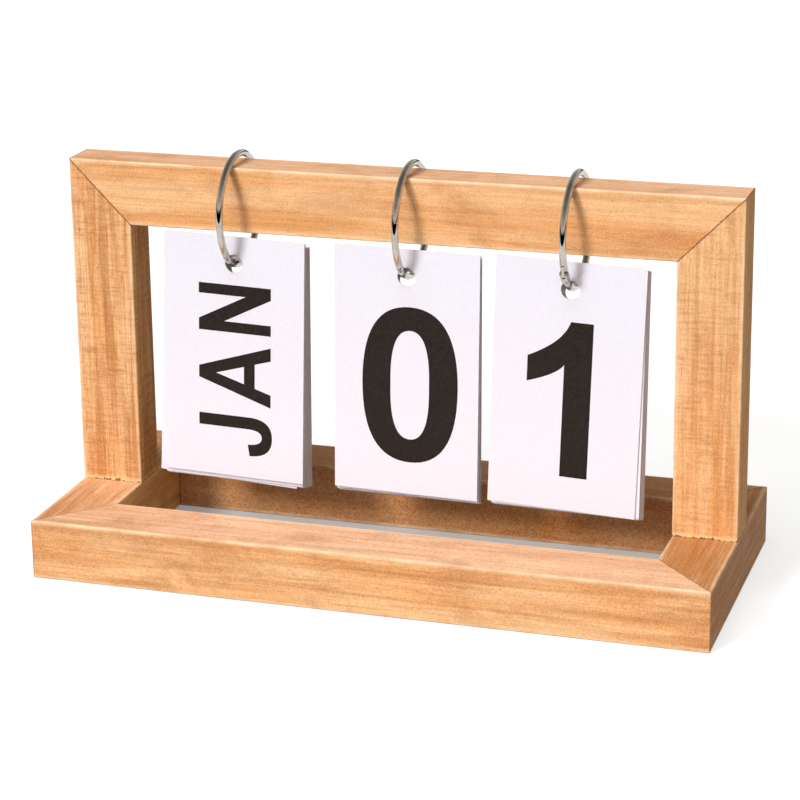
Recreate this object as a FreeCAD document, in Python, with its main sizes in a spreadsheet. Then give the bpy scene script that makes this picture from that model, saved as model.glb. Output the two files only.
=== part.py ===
import FreeCAD, Part
import Sketcher
import math
import os

# Perpetual desk calendar: an open mitred wooden base, an upright wooden frame standing on its
# side rails, three hinged book rings over the top rail and three packs of cards on the rings.
# Millimetres. X runs along the front, Y to the back, Z up; the origin is the middle of the
# underside.

SIZES = {
    # base: four lying rails, mitred at the corners; as wide as the three packs and the gaps
    # beside them need
    "base_depth": 108.0,
    "base_height": 22.2,
    "front_rail_width": 25.3,
    "back_rail_width": 22.8,
    "side_rail_width": 23.5,
    "edge_round": 0.6,
    # upright frame: its stiles stand flush on the side rails, its top corners are mitred
    "frame_setback": 48.2,
    "frame_thickness": 17.0,
    "frame_height": 124.2,
    "top_rail_height": 23.8,
    # book rings: round wire, a riveted hinge and, opposite to it, a half-lapped clasp
    "ring_radius": 20.3,
    "wire_radius": 1.3,
    "ring_seat_clearance": 0.2,
    "hinge_offset": 0.9,
    "lug_radius": 1.3,
    "lug_reach": 3.2,
    "fork_width": 2.4,
    "tongue_thickness": 1.0,
    "tongue_clearance": 0.05,
    "turn_clearance": 0.15,
    "rivet_radius": 0.5,
    "rivet_head_radius": 0.85,
    "rivet_head_height": 0.35,
    "rivet_head_round": 0.25,
    "rivet_clearance": 0.04,
    "clasp_length": 3.6,
    "clasp_end_gap": 0.2,
    "clasp_side_gap": 0.08,
    # cards: each hangs by its punched hole on the wire of its ring
    "card_width": 54.0,
    "card_height": 92.0,
    "card_thickness": 0.45,
    "card_corner": 0.3,
    "hole_radius": 3.4,
    "hole_below_top": 10.2,
    "hang_clearance": 0.15,
    "front_card_offset": 10.65,
    "left_gap": 12.6,
    "month_to_tens_gap": 11.7,
    "tens_to_ones_gap": 6.3,
    "right_gap": 10.4,
    "month_pitch": 0.8,
    "tens_pitch": 1.4,
    "ones_pitch": 0.6,
    # length by which every cut runs past what it cuts
    "overrun": 3.0,
}

# Angles in degrees. A ring's angles are measured from the back, upwards: 90 is its top.
MONTH_HINGE = -78.0
TENS_HINGE = -15.0
ONES_HINGE = 212.0
# how far to the left of its hole's top each card rests on the wire, from the front card backwards;
# a card whose hole passes over the hinge hangs so that the hole clears hinge and rivet
MONTH_SIDES = [65.0, 65.0, 15.0, 10.0, 15.0, 15.0, 15.0, 10.0, 10.0, 10.0, 10.0, 10.0]
TENS_SIDES = [50.0, 45.0, 35.0, 25.0]
ONES_SIDES = [20.0, 20.0, 15.0, 15.0, 15.0, 15.0, 30.0, 28.0, 26.0, 25.0]
# lean of each card in its own plane, clockwise from the front, from the front card backwards
MONTH_LEANS = [1.8, 1.7, 1.5, 3.2, 1.4, 1.2, 1.3, 1.0, 1.1, 0.9, 0.8, 0.7]
TENS_LEANS = [1.0, 0.8, 0.9, 0.5]
ONES_LEANS = [2.2, 1.2, 1.4, 1.2, 1.3, 1.1, 1.2, 1.0, 1.1, 0.9]

MONTHS = ["jan", "feb", "mar", "apr", "may", "jun", "jul", "aug", "sep", "oct", "nov", "dec"]
TENS = ["0", "1", "2", "3"]
ONES = ["1", "2", "3", "4", "5", "6", "7", "8", "9", "0"]

DOC = FreeCAD.newDocument("DeskCalendar")
SHEET = DOC.addObject("Spreadsheet::Sheet", "Sizes")
PARTS = []


def fill_sheet():
    for row, (name, size) in enumerate(SIZES.items(), start=1):
        SHEET.set("A%d" % row, name)
        SHEET.set("B%d" % row, str(size))
        SHEET.setAlias("B%d" % row, name)
    DOC.recompute()


def cell(name):
    return "Sizes." + name


def worth(text):
    """Number that an expression of the sheet's sizes gives now."""
    found = SHEET.evalExpression(text)
    return float(getattr(found, "Value", found))


# Expressions that several pieces share.
INNER_WIDTH = "(3 * %s + %s + %s + %s + %s)" % (
    cell("card_width"), cell("left_gap"), cell("month_to_tens_gap"), cell("tens_to_ones_gap"),
    cell("right_gap"))
BASE_WIDTH = "(%s + 2 * %s)" % (INNER_WIDTH, cell("side_rail_width"))
RING_X = {
    "month": "(%s + %s / 2 - %s / 2)" % (cell("left_gap"), cell("card_width"), INNER_WIDTH),
    "ones": "(%s / 2 - %s - %s / 2)" % (INNER_WIDTH, cell("right_gap"), cell("card_width")),
}
RING_X["tens"] = "(%s + %s + %s)" % (
    RING_X["month"], cell("card_width"), cell("month_to_tens_gap"))
RAIL_FRONT = "(%s - %s / 2)" % (cell("frame_setback"), cell("base_depth"))
FRAME_TOP = "(%s + %s)" % (cell("base_height"), cell("frame_height"))
RING_Y = "(%s + %s / 2)" % (RAIL_FRONT, cell("frame_thickness"))
# the ring hangs with its inner side just clear of the two rounded upper edges of the top rail
SEAT_RADIUS = "(%s - %s - %s - %s)" % (
    cell("ring_radius"), cell("wire_radius"), cell("ring_seat_clearance"), cell("edge_round"))
SEAT_HALF = "(%s / 2 - %s)" % (cell("frame_thickness"), cell("edge_round"))
RING_Z = "(%s - %s - sqrt(%s ^ 2 - %s ^ 2))" % (
    FRAME_TOP, cell("edge_round"), SEAT_RADIUS, SEAT_HALF)
HINGE_RADIUS = "(%s + %s)" % (cell("ring_radius"), cell("hinge_offset"))
HINGE_CUT = "(%s + %s)" % (cell("lug_radius"), cell("turn_clearance"))


def origin_feature(body, role):
    for feature in body.Origin.OriginFeatures:
        if feature.Role == role:
            return feature
    raise ValueError(role)


def new_body(name):
    body = DOC.addObject("PartDesign::Body", "Body_" + name)
    body.Label = name
    PARTS.append(body)
    return body


def new_sketch(body, name, role):
    sketch = body.newObject("Sketcher::SketchObject", name)
    sketch.AttachmentSupport = (origin_feature(body, role), [""])
    sketch.MapMode = "FlatFace"
    return sketch


def pin_point(sketch, geometry, point, x_text, y_text):
    """Hold one point of the sketch at two expressions from the sketch's origin."""
    for kind, text in (("DistanceX", x_text), ("DistanceY", y_text)):
        index = sketch.addConstraint(
            Sketcher.Constraint(kind, -1, 1, geometry, point, worth(text)))
        if text != "0":
            sketch.setExpression("Constraints[%d]" % index, text)


def draw_polygon(sketch, points):
    corners = [FreeCAD.Vector(worth(x), worth(y), 0) for x, y in points]
    count = len(corners)
    for index in range(count):
        line = Part.LineSegment(corners[index], corners[(index + 1) % count])
        sketch.addGeometry(line, False)
    for index in range(count):
        following = (index + 1) % count
        sketch.addConstraint(Sketcher.Constraint("Coincident", index, 2, following, 1))
    for index, (x, y) in enumerate(points):
        pin_point(sketch, index, 1, x, y)


def draw_box(sketch, left, bottom, right, top):
    draw_polygon(sketch, [(left, bottom), (right, bottom), (right, top), (left, top)])


def draw_circle(sketch, x, y, radius):
    middle = FreeCAD.Vector(worth(x), worth(y), 0)
    circle = Part.Circle(middle, FreeCAD.Vector(0, 0, 1), worth(radius))
    geometry = sketch.addGeometry(circle, False)
    pin_point(sketch, geometry, 3, x, y)
    index = sketch.addConstraint(Sketcher.Constraint("Radius", geometry, worth(radius)))
    sketch.setExpression("Constraints[%d]" % index, radius)


def draw_slot(sketch, start, end, radius):
    """Outline with a half circle round each of two points and straight sides between."""
    first = FreeCAD.Vector(worth(start[0]), worth(start[1]), 0)
    second = FreeCAD.Vector(worth(end[0]), worth(end[1]), 0)
    size = worth(radius)
    heading = math.atan2(second.y - first.y, second.x - first.x)
    quarter = math.pi / 2
    normal = FreeCAD.Vector(0, 0, 1)
    side = FreeCAD.Vector(-math.sin(heading), math.cos(heading), 0) * size
    arcs = [
        Part.ArcOfCircle(Part.Circle(first, normal, size), heading + quarter, heading + 3 * quarter),
        Part.ArcOfCircle(Part.Circle(second, normal, size), heading - quarter, heading + quarter),
    ]
    sketch.addGeometry(arcs, False)
    sketch.addGeometry(Part.LineSegment(first - side, second - side), False)
    sketch.addGeometry(Part.LineSegment(second + side, first + side), False)
    for line, arc, line_point, arc_point in ((2, 0, 1, 2), (2, 1, 2, 1), (3, 1, 1, 2), (3, 0, 2, 1)):
        sketch.addConstraint(Sketcher.Constraint("Tangent", line, line_point, arc, arc_point))
    pin_point(sketch, 0, 3, start[0], start[1])
    pin_point(sketch, 1, 3, end[0], end[1])
    index = sketch.addConstraint(Sketcher.Constraint("Radius", 0, size))
    sketch.setExpression("Constraints[%d]" % index, radius)


def pad(body, sketch, name, length, centred):
    feature = body.newObject("PartDesign::Pad", name)
    feature.Profile = sketch
    feature.Midplane = centred
    feature.Length = worth(length)
    feature.setExpression("Length", length)
    return feature


def cut_through(body, sketch, name, both_ways, upwards):
    feature = body.newObject("PartDesign::Pocket", name)
    feature.Profile = sketch
    feature.Type = "ThroughAll"
    feature.Midplane = both_ways
    feature.Reversed = upwards
    return feature


def cut_slice(body, sketch, name, thickness):
    feature = body.newObject("PartDesign::Pocket", name)
    feature.Profile = sketch
    feature.Midplane = True
    feature.Length = worth(thickness)
    feature.setExpression("Length", thickness)
    return feature


def round_edges(body, base, name, edges, radius):
    feature = body.newObject("PartDesign::Fillet", name)
    feature.Base = (base, edges)
    feature.Radius = worth(radius)
    feature.setExpression("Radius", radius)
    return feature


def edges_along(shape, axis):
    """Names of the straight edges that run along an axis: 0 is X, 1 is Y and 2 is Z."""
    names = []
    for number, edge in enumerate(shape.Edges, start=1):
        if edge.Curve.TypeId != "Part::GeomLine":
            continue
        direction = edge.Curve.Direction
        if abs(direction[axis]) > 0.999:
            names.append("Edge%d" % number)
    return names


def place(body, x, y, z, rotation):
    body.Placement = FreeCAD.Placement(FreeCAD.Vector(0, 0, 0), rotation)
    for axis, text in (("x", x), ("y", y), ("z", z)):
        body.setExpression("Placement.Base." + axis, text)


def turned(x_to, y_to):
    """Rotation that takes the piece's own X and Y to two given directions."""
    first = FreeCAD.Vector(*x_to)
    second = FreeCAD.Vector(*y_to)
    return FreeCAD.Rotation(first, second, first.cross(second), "XYZ")


def mitred_bar(name, length, width, low_cut, high_cut, thickness):
    """Wooden bar: its long edge lies on X, its ends are cut back towards its inner edge."""
    body = new_body(name)
    sketch = new_sketch(body, "Plan_" + name, "XY_Plane")
    draw_polygon(sketch, [
        ("-%s / 2" % length, "0"),
        ("%s / 2" % length, "0"),
        ("%s / 2 - %s" % (length, high_cut), width),
        ("%s - %s / 2" % (low_cut, length), width),
    ])
    bar = pad(body, sketch, "Bar_" + name, thickness, False)
    DOC.recompute()
    round_edges(body, bar, "Eased_" + name, edges_along(bar.Shape, 0), cell("edge_round"))
    return body


def build_base():
    width = BASE_WIDTH
    depth = cell("base_depth")
    height = cell("base_height")
    side = cell("side_rail_width")
    front = cell("front_rail_width")
    back = cell("back_rail_width")
    rail = mitred_bar("base_front_rail", width, front, side, side, height)
    place(rail, "0", "-%s / 2" % depth, "0", turned((1, 0, 0), (0, 1, 0)))
    rail = mitred_bar("base_back_rail", width, back, side, side, height)
    place(rail, "0", "%s / 2" % depth, "0", turned((-1, 0, 0), (0, -1, 0)))
    rail = mitred_bar("base_left_rail", depth, side, back, front, height)
    place(rail, "-%s / 2" % width, "0", "0", turned((0, -1, 0), (1, 0, 0)))
    rail = mitred_bar("base_right_rail", depth, side, front, back, height)
    place(rail, "%s / 2" % width, "0", "0", turned((0, 1, 0), (-1, 0, 0)))


def build_frame():
    width = BASE_WIDTH
    tall = cell("frame_height")
    stile = cell("side_rail_width")
    top = cell("top_rail_height")
    thickness = cell("frame_thickness")
    middle = "(%s + %s / 2)" % (cell("base_height"), tall)
    post = mitred_bar("left_upright", tall, stile, "0", top, thickness)
    place(post, "-%s / 2" % width, RAIL_FRONT, middle, turned((0, 0, 1), (1, 0, 0)))
    post = mitred_bar("right_upright", tall, stile, top, "0", thickness)
    place(post, "%s / 2" % width, RAIL_FRONT, middle, turned((0, 0, -1), (-1, 0, 0)))
    rail = mitred_bar("top_rail", width, top, stile, stile, thickness)
    place(rail, "0", RAIL_FRONT, FRAME_TOP, turned((1, 0, 0), (0, 0, -1)))


def ring_half(name, holds_cards):
    """Half of a book ring in its own plane: the hinge on +X, the clasp on -X.

    The half that holds the cards runs below X and ends in a fork at the hinge, the half that
    opens runs above X and ends in a tongue. At the clasp each keeps one side of the wire.
    """
    sign = "-1" if holds_cards else "1"
    radius = cell("ring_radius")
    past = cell("overrun")
    half_clasp = "(%s / 2)" % cell("clasp_length")
    body = new_body(name)

    section = new_sketch(body, "Section_" + name, "XZ_Plane")
    draw_circle(section, radius, "0", cell("wire_radius"))
    wire = body.newObject("PartDesign::Revolution", "Wire_" + name)
    wire.Profile = section
    wire.ReferenceAxis = (origin_feature(body, "Z_Axis"), [""])
    sweep = "180 + asin((%s - %s) / %s) / 1 deg" % (half_clasp, cell("clasp_end_gap"), radius)
    wire.Angle = worth(sweep)
    wire.setExpression("Angle", sweep)
    wire.Reversed = holds_cards

    hinge_end = new_sketch(body, "HingeEnd_" + name, "XY_Plane")
    draw_box(hinge_end, "%s - %s" % (radius, past), "-%s * %s" % (sign, past),
             "%s + %s" % (radius, past), "%s * %s" % (sign, HINGE_CUT))
    cut_through(body, hinge_end, "HingeGap_" + name, True, False)

    lap = new_sketch(body, "Lap_" + name, "XY_Plane")
    lap.setExpression("AttachmentOffset.Base.z", "%s * %s / 2" % (sign, cell("clasp_side_gap")))
    draw_box(lap, "-%s - %s" % (radius, past), "-%s * (%s + %s)" % (sign, half_clasp, past),
             "%s - %s" % (past, radius), "%s * %s" % (sign, half_clasp))
    cut_through(body, lap, "Clasp_" + name, False, holds_cards)

    lug = new_sketch(body, "Lug_" + name, "XY_Plane")
    draw_slot(lug, (HINGE_RADIUS, "0"), (radius, "%s * %s" % (sign, cell("lug_reach"))),
              cell("lug_radius"))
    lug_width = cell("fork_width") if holds_cards else cell("tongue_thickness")
    pad(body, lug, "Hinge_" + name, lug_width, True)

    if holds_cards:
        fork = new_sketch(body, "Fork_" + name, "XY_Plane")
        draw_box(fork, "%s - %s" % (radius, past), "-%s" % HINGE_CUT,
                 "%s + %s" % (HINGE_RADIUS, past), past)
        gap = "%s + 2 * %s" % (cell("tongue_thickness"), cell("tongue_clearance"))
        cut_slice(body, fork, "ForkGap_" + name, gap)

    bore = new_sketch(body, "Bore_" + name, "XY_Plane")
    draw_circle(bore, HINGE_RADIUS, "0",
                "(%s + %s)" % (cell("rivet_radius"), cell("rivet_clearance")))
    cut_through(body, bore, "RivetBore_" + name, True, False)
    return body


def rivet(name):
    """Hinge rivet along its own Z: a pin through the fork and a head on each side."""
    pin = cell("rivet_radius")
    head = cell("rivet_head_radius")
    seat = "(%s / 2)" % cell("fork_width")
    end = "(%s / 2 + %s)" % (cell("fork_width"), cell("rivet_head_height"))
    body = new_body(name)
    profile = new_sketch(body, "Profile_" + name, "XZ_Plane")
    draw_polygon(profile, [
        ("0", "-" + end), (head, "-" + end), (head, "-" + seat), (pin, "-" + seat),
        (pin, seat), (head, seat), (head, end), ("0", end),
    ])
    turned_pin = body.newObject("PartDesign::Revolution", "Turned_" + name)
    turned_pin.Profile = profile
    turned_pin.ReferenceAxis = (origin_feature(body, "Z_Axis"), [""])
    turned_pin.Angle = 360
    DOC.recompute()
    rims = []
    for number, edge in enumerate(turned_pin.Shape.Edges, start=1):
        level = abs(edge.BoundBox.Center.z)
        flat = edge.BoundBox.ZLength < worth(pin) * 0.01
        if flat and edge.Closed and level > worth(seat) * 1.01:
            rims.append("Edge%d" % number)
    round_edges(body, turned_pin, "Domed_" + name, rims, cell("rivet_head_round"))
    return body


def ring_rotation(hinge_angle, mirrored):
    """Takes a ring's own X to its hinge's direction, and its own Z along the top rail."""
    angle = math.radians(hinge_angle)
    side = -1 if mirrored else 1
    hinge = (0, math.cos(angle), math.sin(angle))
    return turned(hinge, (0, -side * math.sin(angle), side * math.cos(angle)))


def build_ring(pack, hinge_angle, mirrored):
    place_x = RING_X[pack]
    rotation = ring_rotation(hinge_angle, mirrored)
    for name, holds_cards in (("_ring_card_half", True), ("_ring_opening_half", False)):
        half = ring_half(pack + name, holds_cards)
        place(half, place_x, RING_Y, RING_Z, rotation)
    pin = rivet(pack + "_ring_rivet")
    along = "%s + %s * cos(%s deg)" % (RING_Y, HINGE_RADIUS, hinge_angle)
    up = "%s + %s * sin(%s deg)" % (RING_Z, HINGE_RADIUS, hinge_angle)
    place(pin, place_x, along, up, rotation)


def card(name):
    """Card in its own XZ plane with the origin in the middle of its punched hole."""
    half = "(%s / 2)" % cell("card_width")
    above = cell("hole_below_top")
    body = new_body(name)
    outline = new_sketch(body, "Outline_" + name, "XZ_Plane")
    draw_box(outline, "-" + half, "%s - %s" % (above, cell("card_height")), half, above)
    sheet = pad(body, outline, "Sheet_" + name, cell("card_thickness"), True)
    DOC.recompute()
    corners = edges_along(sheet.Shape, 1)
    rounded = round_edges(body, sheet, "Corners_" + name, corners, cell("card_corner"))
    punch = new_sketch(body, "Punch_" + name, "XZ_Plane")
    draw_circle(punch, "0", "0", cell("hole_radius"))
    DOC.recompute()
    hole = cut_through(body, punch, "Hole_" + name, True, False)
    DOC.recompute()
    if not hole.Shape.Volume < rounded.Shape.Volume:
        raise RuntimeError("no hole in " + name)
    return body


def build_pack(pack, names, leans, sides):
    """Cards hang one behind the other; each is as high as the wire where it hangs."""
    for index, label in enumerate(names):
        body = card("%s_card_%s" % (pack, label))
        offset = "(%s - %d * %s)" % (cell("front_card_offset"), index, cell(pack + "_pitch"))
        drop = "sqrt(%s ^ 2 - %s ^ 2)" % (cell("ring_radius"), offset)
        # half the height of the slanting wire where it passes through the card
        wire_half = "((%s * %s + %s * %s / 2) / %s)" % (
            cell("wire_radius"), cell("ring_radius"), cell("card_thickness"), offset, drop)
        play = "(%s - %s - %s)" % (cell("hole_radius"), wire_half, cell("hang_clearance"))
        aside = "%s + %s * sin(%s deg)" % (RING_X[pack], play, sides[index])
        height = "%s - %s - %s * cos(%s deg)" % (RING_Z, drop, play, sides[index])
        rotation = FreeCAD.Rotation(FreeCAD.Vector(0, 1, 0), leans[index])
        place(body, aside, "%s - %s" % (RING_Y, offset), height, rotation)


def check_document():
    for item in DOC.Objects:
        if "Invalid" in item.State or "Error" in item.State:
            raise RuntimeError("%s is %s" % (item.Label, item.State))
    for body in PARTS:
        if body.Shape.isNull() or not body.Shape.isValid() or len(body.Shape.Solids) != 1:
            raise RuntimeError("bad shape: " + body.Label)


def write_parts():
    os.makedirs("parts", exist_ok=True)
    for body in PARTS:
        body.Shape.exportStep("parts/%s.step" % body.Label)
        print("%-26s %10.2f mm3" % (body.Label, body.Shape.Volume))


fill_sheet()
build_base()
build_frame()
build_ring("month", MONTH_HINGE, False)
build_ring("tens", TENS_HINGE, False)
build_ring("ones", ONES_HINGE, True)
build_pack("month", MONTHS, MONTH_LEANS, MONTH_SIDES)
build_pack("tens", TENS, TENS_LEANS, TENS_SIDES)
build_pack("ones", ONES, ONES_LEANS, ONES_SIDES)
DOC.recompute()
check_document()
write_parts()
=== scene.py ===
import math

import bpy
from mathutils import Matrix, Vector


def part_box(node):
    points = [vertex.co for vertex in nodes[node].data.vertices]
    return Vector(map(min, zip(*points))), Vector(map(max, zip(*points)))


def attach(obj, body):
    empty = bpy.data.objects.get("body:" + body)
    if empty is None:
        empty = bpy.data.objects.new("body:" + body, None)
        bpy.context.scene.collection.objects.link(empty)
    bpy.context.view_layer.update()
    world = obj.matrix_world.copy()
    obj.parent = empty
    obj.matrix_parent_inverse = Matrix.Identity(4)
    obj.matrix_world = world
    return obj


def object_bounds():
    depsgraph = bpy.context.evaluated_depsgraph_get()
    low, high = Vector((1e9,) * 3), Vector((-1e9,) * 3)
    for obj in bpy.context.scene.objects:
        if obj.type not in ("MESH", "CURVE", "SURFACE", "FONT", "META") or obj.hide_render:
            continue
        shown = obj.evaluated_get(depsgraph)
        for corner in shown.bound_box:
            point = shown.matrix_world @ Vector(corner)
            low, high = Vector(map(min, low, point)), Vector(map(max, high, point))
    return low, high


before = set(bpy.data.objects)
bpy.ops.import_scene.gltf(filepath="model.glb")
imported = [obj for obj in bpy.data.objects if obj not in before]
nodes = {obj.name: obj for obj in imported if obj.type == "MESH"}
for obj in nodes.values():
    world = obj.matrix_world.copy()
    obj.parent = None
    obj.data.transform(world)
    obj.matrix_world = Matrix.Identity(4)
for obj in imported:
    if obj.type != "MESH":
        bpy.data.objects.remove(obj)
cad_low, cad_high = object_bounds()
scene = bpy.context.scene

MM = 0.001
MONTHS = ["jan", "feb", "mar", "apr", "may", "jun", "jul", "aug", "sep", "oct", "nov", "dec"]
TENS = ["0", "1", "2", "3"]
ONES = ["1", "2", "3", "4", "5", "6", "7", "8", "9", "0"]

# How far each card hangs off plumb, in degrees, clockwise from the front, front card first.
LEANS = {
    "month": [1.8, 1.7, 1.5, 3.2, 1.4, 1.2, 1.3, 1.0, 1.1, 0.9, 0.8, 0.7],
    "tens": [1.0, 0.8, 0.9, 0.5],
    "ones": [2.2, 1.2, 1.4, 1.2, 1.3, 1.1, 1.2, 1.0, 1.1, 0.9],
}


# ---------------------------------------------------------------- camera

# Place, right and ahead in metres, lens in millimetres and shift in widths of the picture, all
# fitted to the photograph.
CAMERA_PLACE = (0.276876, -0.874480, 0.363614)
CAMERA_RIGHT = (0.94822, 0.31709, -0.01797)
CAMERA_AHEAD = (-0.30830, 0.90537, -0.29198)
CAMERA_LENS = 119.49
CAMERA_SHIFT = (0.0674, -0.0693)

camera_data = bpy.data.cameras.new("camera")
camera = bpy.data.objects.new("camera", camera_data)
scene.collection.objects.link(camera)
right = Vector(CAMERA_RIGHT).normalized()
up = right.cross(Vector(CAMERA_AHEAD)).normalized()
turn = Matrix((right, up, -up.cross(right))).transposed().to_4x4()
camera.matrix_world = Matrix.Translation(CAMERA_PLACE) @ turn
camera_data.sensor_width = 36.0
camera_data.lens = CAMERA_LENS
camera_data.shift_x, camera_data.shift_y = CAMERA_SHIFT
camera_data.clip_start = 0.05
camera_data.clip_end = 50.0
scene.camera = camera


# ---------------------------------------------------------------- node and colour helpers

def linear(code):
    """An sRGB hex colour as linear red, green, blue and alpha."""
    shares = [int(code[i:i + 2], 16) / 255 for i in (1, 3, 5)]
    return [s / 12.92 if s <= 0.04045 else ((s + 0.055) / 1.055) ** 2.4 for s in shares] + [1.0]


def add(tree, kind, links=None, values=None, **settings):
    """Adds one node with its settings, its values and what feeds it."""
    made = tree.nodes.new(kind)
    for name, setting in settings.items():
        setattr(made, name, setting)
    for socket, value in (values or {}).items():
        made.inputs[socket].default_value = value
    for socket, source in (links or {}).items():
        tree.links.new(source, made.inputs[socket])
    return made


def feed(tree, socket, value):
    """Links a socket to another one, or sets its number or colour."""
    if isinstance(value, bpy.types.NodeSocket):
        tree.links.new(value, socket)
    else:
        socket.default_value = value


def cleared(owner):
    """The node tree of a material or world, emptied."""
    owner.use_nodes = True
    owner.node_tree.nodes.clear()
    return owner.node_tree


def new_material(name):
    """A material whose tree holds its output and a principled shader."""
    made = bpy.data.materials.new(name)
    tree = cleared(made)
    output = add(tree, "ShaderNodeOutputMaterial")
    shader = add(tree, "ShaderNodeBsdfPrincipled")
    tree.links.new(shader.outputs["BSDF"], output.inputs["Surface"])
    return made, tree, shader


def ramp(tree, source, stops):
    """A colour ramp over a value, its stops given as (place, hex colour)."""
    made = add(tree, "ShaderNodeValToRGB", {"Fac": source})
    band = made.color_ramp
    while len(band.elements) < len(stops):
        band.elements.new(0.5)
    for element, (place, code) in zip(band.elements, stops):
        element.position = place
        element.color = linear(code)
    return made.outputs["Color"]


def sums(tree, kind, a, b=None):
    """One sum on values or sockets."""
    made = add(tree, "ShaderNodeMath", operation=kind)
    feed(tree, made.inputs[0], a)
    if b is not None:
        feed(tree, made.inputs[1], b)
    return made.outputs[0]


def span(tree, source, a, b, c=0.0, d=1.0):
    """Maps a value from a..b to c..d and stops at the ends."""
    return add(tree, "ShaderNodeMapRange", {"Value": source},
               {"From Min": a, "From Max": b, "To Min": c, "To Max": d}).outputs["Result"]


# ---------------------------------------------------------------- beech

def beech(name, along, node, shift, joints, saw=0.0, blotch=0.25, joint_dark=0.6, foot=None,
          tone_and_shade=0.0, figure=1.0, painted_top_light=0.0, grit=1.0):
    """Planed beech with a light oil finish, for one wooden bar.

    Honey heartwood with soft darker growth bands, hair-fine streaks and short pith flecks
    along the bar, a fine fuzz left by sanding, saw marks across the uprights, a painted
    highlight along the edges, thin dark glue lines where bars meet, painted light on the faces
    that look up and painted shade on the faces that look to the right.

    along is the axis of the grain, shift moves the figure so that no two bars match, joints
    are (point, normal) of each mitre plane and foot is the height an upright stands on, both
    in metres. saw, blotch and joint_dark are the strength of the saw marks, of the redder
    patches and of the glue lines. tone_and_shade browns a bar, for a darker wood and, on the
    back and right rails, for painted shade. figure strengthens its streaks, painted_top_light
    lays painted light on the faces that look up and grit strengthens the fuzz.
    """
    made, tree, shader = new_material(name)
    links = tree.links
    low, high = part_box(node)
    middle = (low + high) / 2
    places = add(tree, "ShaderNodeTexCoord")
    coords = places.outputs["Object"]
    facing = add(tree, "ShaderNodeSeparateXYZ", {"Vector": places.outputs["Normal"]})
    centred = add(tree, "ShaderNodeMapping", {"Vector": coords}, {"Location": [-c for c in middle]})
    split = add(tree, "ShaderNodeSeparateXYZ", {"Vector": centred.outputs[0]})
    order = {"X": "XYZ", "Y": "YXZ", "Z": "ZXY"}[along]
    grain = add(tree, "ShaderNodeCombineXYZ",
                {i: split.outputs[a] for i, a in zip("XYZ", order)}).outputs[0]

    def noise(per_metre, detail, rough, warp=0.0):
        """Noise with so many features per metre along and across the grain."""
        spread = add(tree, "ShaderNodeMapping", {"Vector": grain},
                     {"Scale": (per_metre[0], per_metre[1], per_metre[1]),
                      "Location": (shift, shift * 0.7, -shift * 1.3)})
        return add(tree, "ShaderNodeTexNoise", {"Vector": spread.outputs[0]},
                   {"Scale": 1.0, "Detail": detail, "Roughness": rough,
                    "Distortion": warp}).outputs["Fac"]

    def blend(amount, base, top, way="MIX"):
        """Lays one colour over another by an amount, a number or a socket."""
        mix = add(tree, "ShaderNodeMix", data_type="RGBA", blend_type=way)
        for place, value in ((0, amount), (6, base), (7, top)):
            feed(tree, mix.inputs[place], value)
        return mix.outputs[2]

    def lay(base, code, source, start, full, amount, way="MIX"):
        """Lays a hex colour over another as a value goes from start to full, up to an amount."""
        return blend(span(tree, source, start, full, 0.0, amount), base, linear(code), way)

    # Growth bands about 9 mm wide that wander over 110 mm of length.
    bands = noise((9.0, 110.0), 4.0, 0.6, 0.6)
    colour = ramp(tree, bands, [(0.28, "#DB9A5C"), (0.43, "#F4B67C"),
                                (0.58, "#FFCE99"), (0.78, "#F0B67E")])
    # Browns the bar: a darker wood, and on the back and right rails painted shade as well.
    colour = blend(tone_and_shade, colour, linear("#9C5F2A"))
    # Painted light on the faces that look up: a paler pink laid over them for the cool high light.
    colour = lay(colour, "#F6CDB4", facing.outputs["Z"], 0.5, 0.9, painted_top_light)
    # Growth lines about 3 mm apart and 80 mm long.
    lines = noise((12.0, 320.0), 3.0, 0.55, 0.5)
    colour = lay(colour, "#C07E46", lines, 0.48, 0.62, 0.50 * figure)
    # Streaks about 0.8 mm wide and 30 mm long.
    streaks = noise((33.0, 1250.0), 4.0, 0.65)
    colour = lay(colour, "#B06C36", streaks, 0.44, 0.68, 0.42 * figure)
    # Redder patches about 20 mm across.
    patches = noise((42.0, 60.0), 4.0, 0.65, 0.4)
    colour = lay(colour, "#BC7741", patches, 0.48, 0.70, blotch * 2)
    # Pinker, paler clouds where sanding has brought up the fibre.
    clouds = noise((26.0, 75.0), 3.0, 0.6)
    colour = lay(colour, "#F2C39A", clouds, 0.50, 0.72, 0.30)
    # Sanding fuzz, drawn 0.7 mm coarse so that it shows, in darker and in paler spots.
    fuzz = noise((1500.0, 1500.0), 3.0, 0.7)
    colour = lay(colour, "#DDB48F", fuzz, 0.50, 0.66, min(1.0, 0.42 * grit), way="MULTIPLY")
    colour = lay(colour, "#FFDDB8", fuzz, 0.47, 0.32, 0.22)
    # Pith flecks, 0.5 mm by 3 mm, that mark beech on its flat face.
    flecks = noise((330.0, 2000.0), 1.0, 0.5)
    colour = lay(colour, "#A2652F", flecks, 0.62, 0.72, 0.34 * figure)
    # Planer chatter straight across an upright, 1.1 mm apart, that fades in and out in patches.
    if saw:
        marks = span(tree, noise((900.0, 95.0), 4.0, 0.75), 0.46, 0.72, 0.0, saw)
        fading = span(tree, noise((55.0, 70.0), 3.0, 0.6), 0.38, 0.58, 0.35, 1.0)
        colour = blend(sums(tree, "MULTIPLY", marks, fading), colour, linear("#B36C38"))

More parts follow.
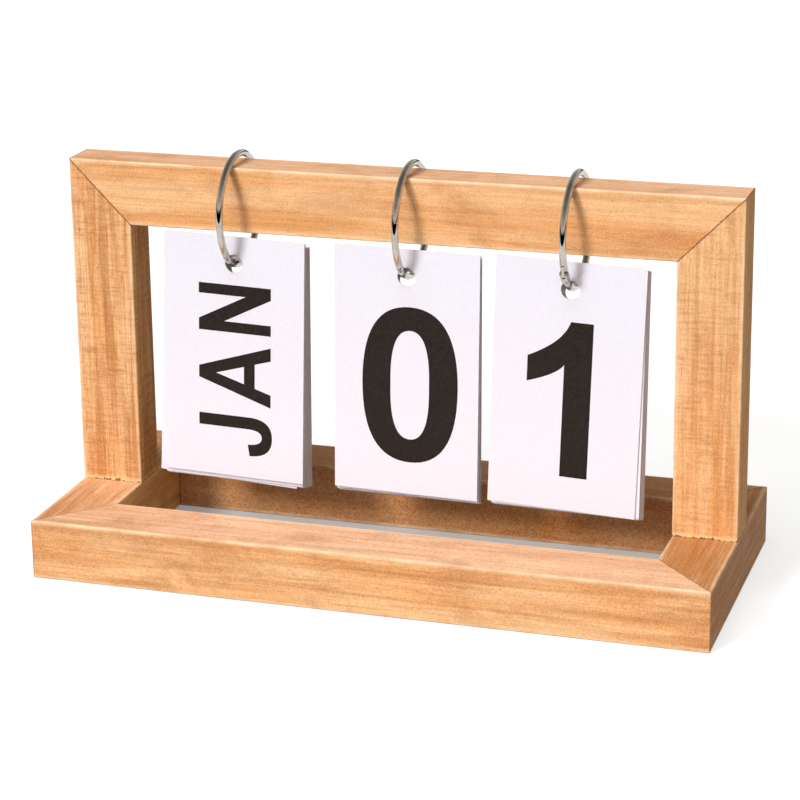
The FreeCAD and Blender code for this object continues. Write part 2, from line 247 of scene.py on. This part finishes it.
    # A painted highlight along the arrises, paler by the distance from the nearest long edge and
    # patchy along it.
    half = (high - low) / 2
    depth = [sums(tree, "SUBTRACT", reach, sums(tree, "ABSOLUTE", split.outputs[axis]))
             for axis, reach in zip("XYZ", half) if axis != along]
    edge = sums(tree, "MAXIMUM", *depth)
    uneven = noise((90.0, 90.0), 3.0, 0.6)
    edge_highlight = sums(tree, "MULTIPLY", span(tree, edge, 0.0004, 0.0017, 1.0, 0.0),
                span(tree, uneven, 0.35, 0.6, 0.3, 1.0))
    colour = blend(sums(tree, "MULTIPLY", edge_highlight, 0.65), colour, linear("#FFE0BC"))

    # Thin, slightly ragged glue lines where bars meet; gap is the way to the nearest mitre.
    gap = 1.0
    for point, normal in joints:
        normal = Vector(normal).normalized()
        reach = add(tree, "ShaderNodeVectorMath", {0: coords}, {1: normal},
                    operation="DOT_PRODUCT").outputs["Value"]
        reach = sums(tree, "ABSOLUTE", sums(tree, "SUBTRACT", reach, normal.dot(Vector(point))))
        gap = sums(tree, "MINIMUM", gap, reach)
    ragged = span(tree, noise((700.0, 700.0), 2.0, 0.6), 0.3, 0.7, 0.00002, 0.00022)
    line = span(tree, sums(tree, "SUBTRACT", gap, ragged), 0.0, 0.00022, joint_dark, 0.0)
    colour = blend(line, colour, linear("#4E2A12"))

    # A paler band and a ragged dark line where an upright stands on its side rail; the dark line is
    # a painted shadow of the gap under the upright.
    if foot is not None:
        above = add(tree, "ShaderNodeSeparateXYZ", {"Vector": coords}).outputs["Z"]
        level = sums(tree, "SUBTRACT", above, foot)
        bare = span(tree, level, 0.0006, 0.0022, 0.6, 0.0)
        colour = blend(bare, colour, linear("#FBD9A2"))
        ragged = span(tree, noise((420.0, 420.0), 3.0, 0.75), 0.47, 0.66, 0.0, 0.0011)
        line = span(tree, sums(tree, "SUBTRACT", level, ragged), 0.0, 0.0002, 0.8, 0.0)
        colour = blend(line, colour, linear("#3E210E"))

    # Painted shade on the faces that look to the right: a deeper honey brown for the side turned
    # away from the lamps.
    painted_right_shade = span(tree, facing.outputs["X"], 0.5, 0.9, 0.0, 0.75)
    colour = blend(painted_right_shade, colour, (1.0, 0.90, 0.52, 1.0), way="MULTIPLY")

    links.new(colour, shader.inputs["Base Color"])
    links.new(span(tree, streaks, 0.3, 0.7, 0.52, 0.68), shader.inputs["Roughness"])
    shader.inputs["IOR"].default_value = 1.5
    shader.inputs["Specular IOR Level"].default_value = 0.2
    height = sums(tree, "ADD", sums(tree, "MULTIPLY", streaks, 0.4),
                  sums(tree, "MULTIPLY", fuzz, 0.6))
    bump = add(tree, "ShaderNodeBump", {"Height": height}, {"Strength": 0.5, "Distance": 0.00025})
    links.new(bump.outputs[0], shader.inputs["Normal"])
    return made


def paint(node, material):
    """Gives a CAD node this material on every one of its slots."""
    mesh = nodes[node].data
    if not mesh.materials:
        mesh.materials.append(material)
    for place in range(len(mesh.materials)):
        mesh.materials[place] = material


base_low, base_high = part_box("base_front_rail")
back_low, back_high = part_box("base_back_rail")
inner_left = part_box("base_left_rail")[1].x
inner_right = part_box("base_right_rail")[0].x
inner_front, inner_back = base_high.y, back_low.y
upright_low, upright_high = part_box("left_upright")
rail_low, rail_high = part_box("top_rail")
far_low, far_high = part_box("right_upright")


def mitre(outer, inner):
    """The upright plane through an outer and an inner corner of the base, as point and normal."""
    run = Vector((inner[0] - outer[0], inner[1] - outer[1], 0))
    return ((outer[0], outer[1], 0), (-run.y, run.x, 0))


corners = {
    "front_left": mitre((base_low.x, base_low.y), (inner_left, inner_front)),
    "front_right": mitre((base_high.x, base_low.y), (inner_right, inner_front)),
    "back_left": mitre((base_low.x, back_high.y), (inner_left, inner_back)),
    "back_right": mitre((base_high.x, back_high.y), (inner_right, inner_back)),
}
rail_height = rail_high.z - rail_low.z
top_left = ((upright_low.x, 0, rail_high.z), (rail_height, 0, upright_high.x - upright_low.x))
top_right = ((far_high.x, 0, rail_high.z), (rail_height, 0, far_low.x - far_high.x))

# For each bar the axis of its grain, the shift of its figure, the mitres it meets and its finish,
# which also sets its painted light on top and, on the back and right rails, its painted shade.
BARS = {
    "base_front_rail": ("X", 1.7, [corners["front_left"], corners["front_right"]],
                        dict(joint_dark=0.45, figure=0.7, painted_top_light=0.5, grit=1.3)),
    # The back rail is browned as painted shade, for the shadow of the cards over it.
    "base_back_rail": ("X", 5.3, [corners["back_left"], corners["back_right"]],
                       dict(blotch=0.35, tone_and_shade=0.60, figure=0.4, grit=2.2)),
    "base_left_rail": ("Y", 9.1, [corners["front_left"], corners["back_left"]],
                       dict(joint_dark=0.3, tone_and_shade=0.12, figure=1.1, painted_top_light=0.25)),
    # The right rail is browned as painted shade, for its side turned away from the lamps.
    "base_right_rail": ("Y", 12.9, [corners["front_right"], corners["back_right"]],
                        dict(blotch=0.4, tone_and_shade=0.58, figure=1.7)),
    "left_upright": ("Z", 17.3, [top_left],
                     dict(saw=0.75, blotch=0.16, joint_dark=0.75, foot=upright_low.z, figure=1.35)),
    "right_upright": ("Z", 21.1, [top_right],
                      dict(saw=0.60, blotch=0.12, joint_dark=0.75, foot=far_low.z, figure=0.8)),
    "top_rail": ("X", 26.7, [top_left, top_right],
                 dict(blotch=0.22, joint_dark=0.75, tone_and_shade=0.06, figure=0.5, painted_top_light=0.4, grit=1.2)),
}
for bar, (along, shift, joints, finish) in BARS.items():
    paint(bar, beech("beech_" + bar.replace("base_", ""), along, bar, shift, joints, **finish))


# ---------------------------------------------------------------- nickel, steel, card and ink

def metal(name, per_metre, rough, stops, least, most):
    """A bare metal whose tint and roughness wander with an even noise."""
    made, tree, shader = new_material(name)
    coords = add(tree, "ShaderNodeTexCoord").outputs["Object"]
    wander = add(tree, "ShaderNodeTexNoise", {"Vector": coords},
                 {"Scale": per_metre, "Detail": 2.0, "Roughness": rough}).outputs["Fac"]
    tree.links.new(ramp(tree, wander, stops), shader.inputs["Base Color"])
    tree.links.new(span(tree, wander, 0.3, 0.7, least, most), shader.inputs["Roughness"])
    shader.inputs["Metallic"].default_value = 1.0
    return made


def card_stock():
    """Uncoated white card: a soft cool white face with a faint fibre, and warmer cut edges."""
    made, tree, shader = new_material("white_card_stock")
    places = add(tree, "ShaderNodeTexCoord")
    fibre = add(tree, "ShaderNodeTexNoise", {"Vector": places.outputs["Object"]},
                {"Scale": 1400.0, "Detail": 4.0, "Roughness": 0.65}).outputs["Fac"]
    face = ramp(tree, fibre, [(0.3, "#EBE9F5"), (0.7, "#F2F0FB")])
    edge = ramp(tree, fibre, [(0.3, "#EADFDC"), (0.7, "#FAF3F1")])
    facing = add(tree, "ShaderNodeSeparateXYZ", {"Vector": places.outputs["Normal"]}).outputs["Y"]
    cut = span(tree, sums(tree, "ABSOLUTE", facing), 0.5, 0.8, 1.0, 0.0)
    mix = add(tree, "ShaderNodeMix", {0: cut, 6: face, 7: edge}, data_type="RGBA")
    tree.links.new(mix.outputs[2], shader.inputs["Base Color"])
    shader.inputs["Roughness"].default_value = 0.72
    shader.inputs["IOR"].default_value = 1.45
    bump = add(tree, "ShaderNodeBump", {"Height": fibre}, {"Strength": 0.12, "Distance": 0.00005})
    tree.links.new(bump.outputs[0], shader.inputs["Normal"])
    return made


def black_ink():
    """Printed black: a warm near-black, slightly mottled where the card's fibre shows through."""
    made, tree, shader = new_material("black_ink")
    coords = add(tree, "ShaderNodeTexCoord").outputs["Object"]
    fibre = add(tree, "ShaderNodeTexNoise", {"Vector": coords},
                {"Scale": 700.0, "Detail": 4.0, "Roughness": 0.7}).outputs["Fac"]
    colour = ramp(tree, fibre, [(0.3, "#1D1815"), (0.7, "#2C2521")])
    tree.links.new(colour, shader.inputs["Base Color"])
    shader.inputs["Roughness"].default_value = 0.55
    shader.inputs["Specular IOR Level"].default_value = 0.25
    return made


# Bright nickel plating on steel wire: warm silver, nearly a mirror, with faint rub marks.
ring_metal = metal("nickel_plated_steel", 260.0, 0.5,
                   [(0.35, "#BDB6AD"), (0.65, "#CFC9C0")], 0.06, 0.11)
# Plain steel rivets, duller and greyer than the wire they join.
rivet_metal = metal("steel_rivet", 2200.0, 0.6,
                    [(0.3, "#9A958E"), (0.7, "#BDB8B1")], 0.24, 0.38)
card_paper, ink = card_stock(), black_ink()
for name in nodes:
    if name.endswith(("_card_half", "_opening_half")):
        paint(name, ring_metal)
    elif name.endswith("_ring_rivet"):
        paint(name, rivet_metal)
    elif "_card_" in name:
        paint(name, card_paper)


# ---------------------------------------------------------------- print

# Each sign is drawn in millimetres from its own lower left corner, letters 28 high and digits
# 57.6 high. A point with a third number is the control point of the curve between its neighbours.
SIGNS = {
    "A": [[(0, 0), (9.3, 28), (13.8, 28), (23.1, 0), (18.1, 0), (16.2, 6.2), (6.9, 6.2),
           (5.0, 0)],
          [(11.55, 21.3), (14.9, 10.4), (8.2, 10.4)]],
    "B": [[(0, 0), (0, 28), (11.5, 28), (19.2, 28, 1), (19.2, 20.8), (19.2, 16.4, 1),
           (15.4, 14.9), (20.6, 13.4, 1), (20.6, 7.8), (20.6, 0, 1), (12, 0)],
          [(4.3, 24.2), (11, 24.2), (14.8, 24.2, 1), (14.8, 20.4), (14.8, 16.6, 1), (11, 16.6),
           (4.3, 16.6)],
          [(4.3, 12.9), (11.6, 12.9), (16.1, 12.9, 1), (16.1, 8.3), (16.1, 3.8, 1), (11.6, 3.8),
           (4.3, 3.8)]],
    "C": [[(22, 19.4), (20, 28.5, 1), (11.8, 28.5), (0, 28.5, 1), (0, 14), (0, -0.5, 1),
           (11.8, -0.5), (20.6, -0.5, 1), (22.3, 9), (18, 10.2), (16.6, 3.4, 1), (11.8, 3.4),
           (4.5, 3.4, 1), (4.5, 14), (4.5, 24.6, 1), (11.8, 24.6), (16.4, 24.6, 1), (17.6, 18.4)]],
    "D": [[(0, 0), (0, 28), (9.6, 28), (21.4, 28, 1), (21.4, 14), (21.4, 0, 1), (9.6, 0)],
          [(4.3, 24.2), (9.2, 24.2), (16.9, 24.2, 1), (16.9, 14), (16.9, 3.8, 1), (9.2, 3.8),
           (4.3, 3.8)]],
    "E": [[(0, 0), (0, 28), (18.6, 28), (18.6, 24.1), (4.3, 24.1), (4.3, 16.6), (17.4, 16.6),
           (17.4, 12.8), (4.3, 12.8), (4.3, 3.9), (19.2, 3.9), (19.2, 0)]],
    "F": [[(0, 0), (0, 28), (17.6, 28), (17.6, 24.1), (4.3, 24.1), (4.3, 16.2), (15.6, 16.2),
           (15.6, 12.4), (4.3, 12.4), (4.3, 0)]],
    "G": [[(23, 14.8), (23, 4.4), (18.6, -0.5, 1), (12.4, -0.5), (0, -0.5, 1), (0, 14),
           (0, 28.5, 1), (12.2, 28.5), (21, 28.5, 1), (22.6, 19.6), (18.2, 18.8), (17, 24.6, 1),
           (12.2, 24.6), (4.5, 24.6, 1), (4.5, 14), (4.5, 3.4, 1), (12.4, 3.4), (16, 3.4, 1),
           (18.8, 6.2), (18.8, 11), (12.4, 11), (12.4, 14.8)]],
    "J": [[(10.4, 28), (15, 28), (15, 8.4), (15, -0.6, 1), (7.5, -0.6), (0, -0.6, 1), (0, 8.2),
           (4.4, 8.9), (4.5, 3.4, 1), (7.4, 3.4), (10.4, 3.4, 1), (10.4, 9)]],
    "L": [[(0, 0), (0, 28), (4.3, 28), (4.3, 3.9), (17.4, 3.9), (17.4, 0)]],
    "M": [[(0, 0), (0, 28), (6.2, 28), (11.7, 7.6), (17.2, 28), (23.4, 28), (23.4, 0),
           (19.3, 0), (19.3, 21.6), (13.8, 0), (9.6, 0), (4.1, 21.6), (4.1, 0)]],
    "N": [[(0, 0), (0, 28), (4.4, 28), (14, 9.8), (14, 28), (18, 28), (18, 0), (13.6, 0),
           (4.0, 18.1), (4.0, 0)]],
    "O": [[(0, 14), (0, 28.5, 1), (11.8, 28.5), (23.6, 28.5, 1), (23.6, 14), (23.6, -0.5, 1),
           (11.8, -0.5), (0, -0.5, 1)],
          [(4.5, 14), (4.5, 24.6, 1), (11.8, 24.6), (19.1, 24.6, 1), (19.1, 14), (19.1, 3.4, 1),
           (11.8, 3.4), (4.5, 3.4, 1)]],
    "P": [[(0, 0), (0, 28), (11.4, 28), (20, 28, 1), (20, 19.2), (20, 10.4, 1), (11.4, 10.4),
           (4.3, 10.4), (4.3, 0)],
          [(4.3, 24.2), (11, 24.2), (15.6, 24.2, 1), (15.6, 19.2), (15.6, 14.2, 1), (11, 14.2),
           (4.3, 14.2)]],
    "R": [[(0, 0), (0, 28), (12.2, 28), (20.6, 28, 1), (20.6, 20), (20.6, 13.8, 1),
           (14.6, 12.4), (16.6, 11, 1), (18, 8.6), (22.6, 0), (17.5, 0), (13.4, 7.6),
           (10.8, 12, 1), (7.6, 12), (4.3, 12), (4.3, 0)],
          [(4.3, 24.2), (11.8, 24.2), (16.2, 24.2, 1), (16.2, 19.9), (16.2, 15.6, 1),
           (11.8, 15.6), (4.3, 15.6)]],
    "S": [[(19.2, 20), (18.8, 28.5, 1), (10, 28.5), (1, 28.5, 1), (1, 20.8), (1, 14.6, 1),
           (9.4, 12.9), (15.6, 11.6, 1), (15.6, 7.9), (15.6, 3.4, 1), (10.2, 3.4),
           (4.8, 3.4, 1), (4.2, 9), (0, 8.6), (0.6, -0.5, 1), (10.1, -0.5), (20, -0.5, 1),
           (20, 8), (20, 14.2, 1), (11.6, 16.1), (5.2, 17.4, 1), (5.2, 20.9), (5.2, 24.7, 1),
           (9.9, 24.7), (14.6, 24.7, 1), (14.9, 19.8)]],
    "T": [[(7.4, 0), (7.4, 24.1), (0, 24.1), (0, 28), (19, 28), (19, 24.1), (11.6, 24.1),
           (11.6, 0)]],
    "U": [[(0, 28), (4.3, 28), (4.3, 10.6), (4.3, 3.4, 1), (10.9, 3.4), (17.5, 3.4, 1),
           (17.5, 10.6), (17.5, 28), (21.8, 28), (21.8, 10.8), (21.8, -0.5, 1), (10.9, -0.5),
           (0, -0.5, 1), (0, 10.8)]],
    "V": [[(8.9, 0), (0, 28), (4.7, 28), (11.2, 6.2), (17.7, 28), (22.4, 28), (13.5, 0)]],
    "Y": [[(8.7, 0), (8.7, 11.6), (0, 28), (5, 28), (10.9, 16), (16.8, 28), (21.8, 28),
           (13.1, 11.6), (13.1, 0)]],
    "0": [[(0, 28.8), (0, 58.1, 1), (17.9, 58.1), (35.8, 58.1, 1), (35.8, 28.8),
           (35.8, -0.5, 1), (17.9, -0.5), (0, -0.5, 1)],
          [(10.6, 31.2), (10.6, 49.3, 1), (17.9, 49.3), (25.1, 49.3, 1), (25.1, 31.2),
           (25.1, 26.4), (25.1, 8.3, 1), (17.9, 8.3), (10.6, 8.3, 1), (10.6, 26.4)]],
    "1": [[(15.1, 57.6), (23.3, 57.6), (23.3, 0), (13.3, 0), (13.3, 41.6), (10.9, 37.8, 1),
           (0, 34.3), (0, 43.8), (12.8, 49.9, 1)]],
    "2": [[(36, 0), (36, 10), (15.5, 10), (17.5, 13.5, 1), (24, 19.2), (36, 29.5, 1),
           (36, 41.2), (36, 58.1, 1), (18.6, 58.1), (2.6, 58.1, 1), (1, 41), (11.6, 39.9),
           (12.2, 49.2, 1), (18.5, 49.2), (25.2, 49.2, 1), (25.2, 41.6), (25.2, 36, 1),
           (16.5, 27.6), (0.8, 13, 1), (0, 0)]],
    "3": [[(0.6, 15.6), (10.9, 17), (12.2, 8.3, 1), (18, 8.3), (25.4, 8.3, 1), (25.4, 17.6),
           (25.4, 26.3, 1), (17.8, 26.3), (16, 26.3, 1), (13.6, 25.7), (14.8, 34.3),
           (24.2, 34.1, 1), (24.2, 42.2), (24.2, 49.4, 1), (17.8, 49.4), (11.8, 49.4, 1),
           (11, 41.6), (1.2, 43.2), (3.6, 58.1, 1), (18.2, 58.1), (34.3, 58.1, 1), (34.3, 43.4),
           (34.3, 34.4, 1), (26.4, 31.2), (36.2, 29.2, 1), (36.2, 17.4), (36.2, -0.5, 1),
           (18, -0.5), (2.2, -0.5, 1)]],
    "4": [[(21.6, 0), (31.6, 0), (31.6, 11.6), (37.4, 11.6), (37.4, 20.6), (31.6, 20.6),
           (31.6, 57.6), (22.6, 57.6), (0, 20.8), (0, 11.6), (21.6, 11.6)],
          [(21.6, 20.6), (9.6, 20.6), (21.6, 40.4)]],
    "5": [[(0.4, 14.6), (11.2, 15.8), (12.4, 8, 1), (18.2, 8), (25.4, 8, 1), (25.4, 18.8),
           (25.4, 28.6, 1), (18, 28.6), (13.6, 28.6, 1), (10.2, 24.6), (1.6, 26), (7, 57.6),
           (33.6, 57.6), (33.6, 47.8), (15, 47.8), (13, 36), (16.2, 37.8, 1), (20, 37.8),
           (36, 37.6, 1), (36, 19), (36, -0.5, 1), (18.2, -0.5), (2.4, -0.5, 1)]],
    "6": [[(35, 43.4), (24.8, 42.2), (24, 49.6, 1), (18.6, 49.6), (11.2, 49.6, 1), (10.4, 31.6),
           (14.6, 37, 1), (20.4, 37), (36, 36.6, 1), (36, 18.6), (36, -0.5, 1), (18.6, -0.5),
           (0, -0.5, 1), (0, 28), (0, 58.1, 1), (19.2, 58.1), (33, 58.1, 1)],
          [(11, 19.2), (11, 8, 1), (18.6, 8), (25.6, 8, 1), (25.6, 18.4), (25.6, 28.8, 1),
           (18.2, 28.8), (11, 28.8, 1)]],
    "7": [[(0, 47.6), (0, 57.6), (36.4, 57.6), (36.4, 49.6), (22, 34.5, 1), (20.2, 0), (9.6, 0),
           (10.2, 27, 1), (23.6, 47.6)]],
    "8": [[(9.4, 31), (1.6, 34.2, 1), (1.6, 42.6), (1.6, 58.1, 1), (18, 58.1), (34.6, 58.1, 1),
           (34.6, 42.6), (34.6, 34.6, 1), (26.8, 31), (36.4, 27.4, 1), (36.4, 17),
           (36.4, -0.5, 1), (18, -0.5), (-0.2, -0.5, 1), (-0.2, 17), (-0.2, 27.2, 1)],
          [(18, 34.6), (11.4, 34.6, 1), (11.4, 42.2), (11.4, 49.8, 1), (18, 49.8),
           (24.8, 49.8, 1), (24.8, 42.2), (24.8, 34.6, 1)],
          [(18, 26.6), (10.4, 26.6, 1), (10.4, 17.2), (10.4, 7.8, 1), (18, 7.8), (25.8, 7.8, 1),
           (25.8, 17.2), (25.8, 26.6, 1)]],
}
SIGNS["9"] = [[(36 - p[0], 57.6 - p[1]) + p[2:] for p in line] for line in SIGNS["6"]]
# Millimetres, places counted from the middle of the card to the right and up.
LETTER_GAP = 4.5
WORD_LENGTH = 66.0
WORD_MIDDLE = -4.9
WORD_FOOT = 14.3
DIGIT_FOOT = -33.35
# Half the ink's thickness, and the film of air between its back and the front of the card.
INK_HALF = 0.011
INK_GAP = 0.002


def sign_width(sign):
    """The width of a sign in millimetres."""
    across = [p[0] for line in SIGNS[sign] for p in line]
    return max(across) - min(across)


def draw_line(curve, line, place):
    """Adds one closed outline to a flat curve; place turns its points into the curve's own."""
    on_curve = [i for i, p in enumerate(line) if len(p) == 2]
    spline = curve.splines.new("BEZIER")
    spline.bezier_points.add(len(on_curve) - 1)
    spline.use_cyclic_u = True
    for spot, i in zip(spline.bezier_points, on_curve):
        here = Vector(place(line[i]))
        after = line[(i + 1) % len(line)]
        before = line[i - 1]
        spot.handle_left_type = spot.handle_right_type = "FREE"
        spot.co = here.to_3d()
        share = 2 / 3 if len(after) == 3 else 1 / 3
        spot.handle_right = here.lerp(Vector(place(after)), share).to_3d()
        share = 2 / 3 if len(before) == 3 else 1 / 3
        spot.handle_left = here.lerp(Vector(place(before)), share).to_3d()


def print_on(node, body, lines, lean):
    """Lays printed signs on the front of a card, lines being pairs of an outline and its place."""
    curve = bpy.data.curves.new(node + "_print", "CURVE")
    curve.dimensions = "2D"
    curve.fill_mode = "BOTH"
    curve.resolution_u = 16
    curve.extrude = INK_HALF * MM
    for line, place in lines:
        draw_line(curve, line, place)
    drawn = bpy.data.objects.new(node + "_print", curve)
    scene.collection.objects.link(drawn)
    bpy.ops.object.select_all(action="DESELECT")
    drawn.select_set(True)
    bpy.context.view_layer.objects.active = drawn
    bpy.ops.object.convert(target="MESH")
    printed = bpy.context.view_layer.objects.active
    low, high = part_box(node)
    in_front = low.y - (INK_HALF + INK_GAP) * MM
    centre = Vector(((low.x + high.x) / 2, in_front, (low.z + high.z) / 2))
    # The flat curve stands up on the card's front, then leans with the card.
    stand = Matrix.Rotation(math.radians(90), 4, "X")
    tilt = Matrix.Rotation(math.radians(lean), 4, "Y")
    printed.data.transform(Matrix.Translation(centre) @ tilt @ stand)
    printed.data.update()
    printed.data.materials.clear()
    printed.data.materials.append(ink)
    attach(printed, body)


for month, lean in zip(MONTHS, LEANS["month"]):
    word = month.upper()
    length = sum(sign_width(s) for s in word) + LETTER_GAP * (len(word) - 1)
    squeeze = min(1.0, WORD_LENGTH / length)
    start = WORD_MIDDLE - length * squeeze / 2
    drawn = []
    for sign in word:
        # A word reads upwards: along it is up the card, and the tops of its letters point left.
        place = (lambda p, at=start: ((WORD_FOOT - p[1]) * MM, (at + p[0] * squeeze) * MM))
        drawn += [(line, place) for line in SIGNS[sign]]
        start += (sign_width(sign) + LETTER_GAP) * squeeze
    node = "month_card_" + month
    print_on(node, node, drawn, lean)

# The nought and the one in front are printed a little off the middle of their cards.
OFF_MIDDLE = {"tens_card_0": 1.45, "ones_card_1": -2.65}
for pack, signs in (("tens", TENS), ("ones", ONES)):
    for sign, lean in zip(signs, LEANS[pack]):
        node = pack + "_card_" + sign
        left = OFF_MIDDLE.get(node, 0.0) - sign_width(sign) / 2
        place = (lambda p, at=left: ((at + p[0]) * MM, (p[1] + DIGIT_FOOT) * MM))
        print_on(node, node, [(line, place) for line in SIGNS[sign]], lean)


# ---------------------------------------------------------------- floor, world and lamps

# Metres: the floor's side and its drop below the base, how far inside the base's outline its full
# glow begins, and where it ends for the rings that mirror it.
FLOOR_SIZE = 12.0
FLOOR_DROP = 0.0001
UNDER_RIM = 0.005
FLOOR_FRONT = -0.45
# The floor's glow in the well of the base and outside it.
WELL_GLOW = 0.16
FLOOR_GLOW = 0.66


def white_floor():
    """A matt white floor that the camera sees as white outside the object's shadow."""
    made = bpy.data.materials.new("matt_white_floor")
    tree = cleared(made)
    output = add(tree, "ShaderNodeOutputMaterial")
    path = add(tree, "ShaderNodeLightPath")
    coords = add(tree, "ShaderNodeTexCoord").outputs["Object"]
    spot = add(tree, "ShaderNodeSeparateXYZ", {"Vector": coords})
    # Other rays than the camera's meet a greyer floor, so that less light comes back up.
    dull = add(tree, "ShaderNodeBsdfDiffuse", values={"Color": linear("#7C7C7C")})
    # The floor in the well of the base glows less, so that it stays in the shade.
    past = [sums(tree, "GREATER_THAN", sums(tree, "ABSOLUTE", spot.outputs[axis]), reach)
            for axis, reach in (("X", cad_high.x - UNDER_RIM), ("Y", cad_high.y - UNDER_RIM))]
    strength = span(tree, sums(tree, "MAXIMUM", *past), 0.0, 1.0, WELL_GLOW, FLOOR_GLOW)
    pale = add(tree, "ShaderNodeBsdfDiffuse", values={"Color": linear("#BCBCBC")})
    glow = add(tree, "ShaderNodeEmission", {"Strength": strength}, {"Color": (1, 1, 1, 1)})
    lit = add(tree, "ShaderNodeAddShader", {0: pale.outputs[0], 1: glow.outputs[0]})
    seen = add(tree, "ShaderNodeMixShader",
               {0: path.outputs["Is Camera Ray"], 1: dull.outputs[0], 2: lit.outputs[0]})
    # The rings mirror a white floor that ends in front of the stand, where a dark room begins.
    near = sums(tree, "GREATER_THAN", spot.outputs["Y"], FLOOR_FRONT)
    mirrored = add(tree, "ShaderNodeEmission", {"Strength": near}, {"Color": (1, 1, 1, 1)})
    shown = add(tree, "ShaderNodeMixShader",
                {0: path.outputs["Is Glossy Ray"], 1: seen.outputs[0], 2: mirrored.outputs[0]})
    tree.links.new(shown.outputs[0], output.inputs["Surface"])
    return made


bpy.ops.mesh.primitive_plane_add(size=FLOOR_SIZE, location=(0, 0, cad_low.z - FLOOR_DROP))
floor = bpy.context.active_object
floor.name = "floor"
floor.data.materials.append(white_floor())

world = bpy.data.worlds.new("studio")
scene.world = world
tree = cleared(world)
output = add(tree, "ShaderNodeOutputWorld")
path = add(tree, "ShaderNodeLightPath")
direction = add(tree, "ShaderNodeTexCoord").outputs["Generated"]
height = add(tree, "ShaderNodeSeparateXYZ", {"Vector": direction}).outputs["Z"]
# The room in the rings: a dark wall low down, a bright band over it and a dimmer ceiling.
room = ramp(tree, height, [(0.0, "#0E0D0C"), (0.06, "#1A1816"), (0.18, "#E6E2DC"),
                           (0.55, "#A6A199"), (1.0, "#6A655F")])
ambient = add(tree, "ShaderNodeBackground", values={"Color": (1, 0.91, 0.79, 1), "Strength": 0.20})
mirrored = add(tree, "ShaderNodeBackground", {"Color": room}, {"Strength": 1.0})
white = add(tree, "ShaderNodeBackground", values={"Color": (1, 1, 1, 1), "Strength": 1.0})
inner = add(tree, "ShaderNodeMixShader",
            {0: path.outputs["Is Glossy Ray"], 1: ambient.outputs[0], 2: mirrored.outputs[0]})
outer = add(tree, "ShaderNodeMixShader",
            {0: path.outputs["Is Camera Ray"], 1: inner.outputs[0], 2: white.outputs[0]})
tree.links.new(outer.outputs[0], output.inputs["Surface"])

# Each lamp's strength, degrees left of the front and above the floor, spread in degrees, colour.
LAMPS = {
    "key_window": (2.28, 26, 30, 15, (1.0, 0.98, 0.96)),
    "low_fill": (0.50, 12, 20, 28, (1.0, 0.98, 0.97)),
    "high_panel": (1.3, 14, 68, 34, (0.96, 0.98, 1.0)),
    "side_wall": (0.46, -68, 8, 60, (1.0, 0.93, 0.84)),
}
for name, (strength, side, rise, spread, tint) in LAMPS.items():
    light = bpy.data.lights.new(name, "SUN")
    light.energy = strength
    light.angle = math.radians(spread)
    light.color = tint
    side, rise = math.radians(side), math.radians(rise)
    flat = math.cos(rise)
    aim = Vector((math.sin(side) * flat, math.cos(side) * flat, -math.sin(rise)))
    lamp = bpy.data.objects.new(name, light)
    lamp.rotation_mode = "QUATERNION"
    lamp.rotation_quaternion = aim.to_track_quat("-Z", "Y")
    lamp.visible_glossy = False
    scene.collection.objects.link(lamp)

scene.view_settings.view_transform = "Standard"
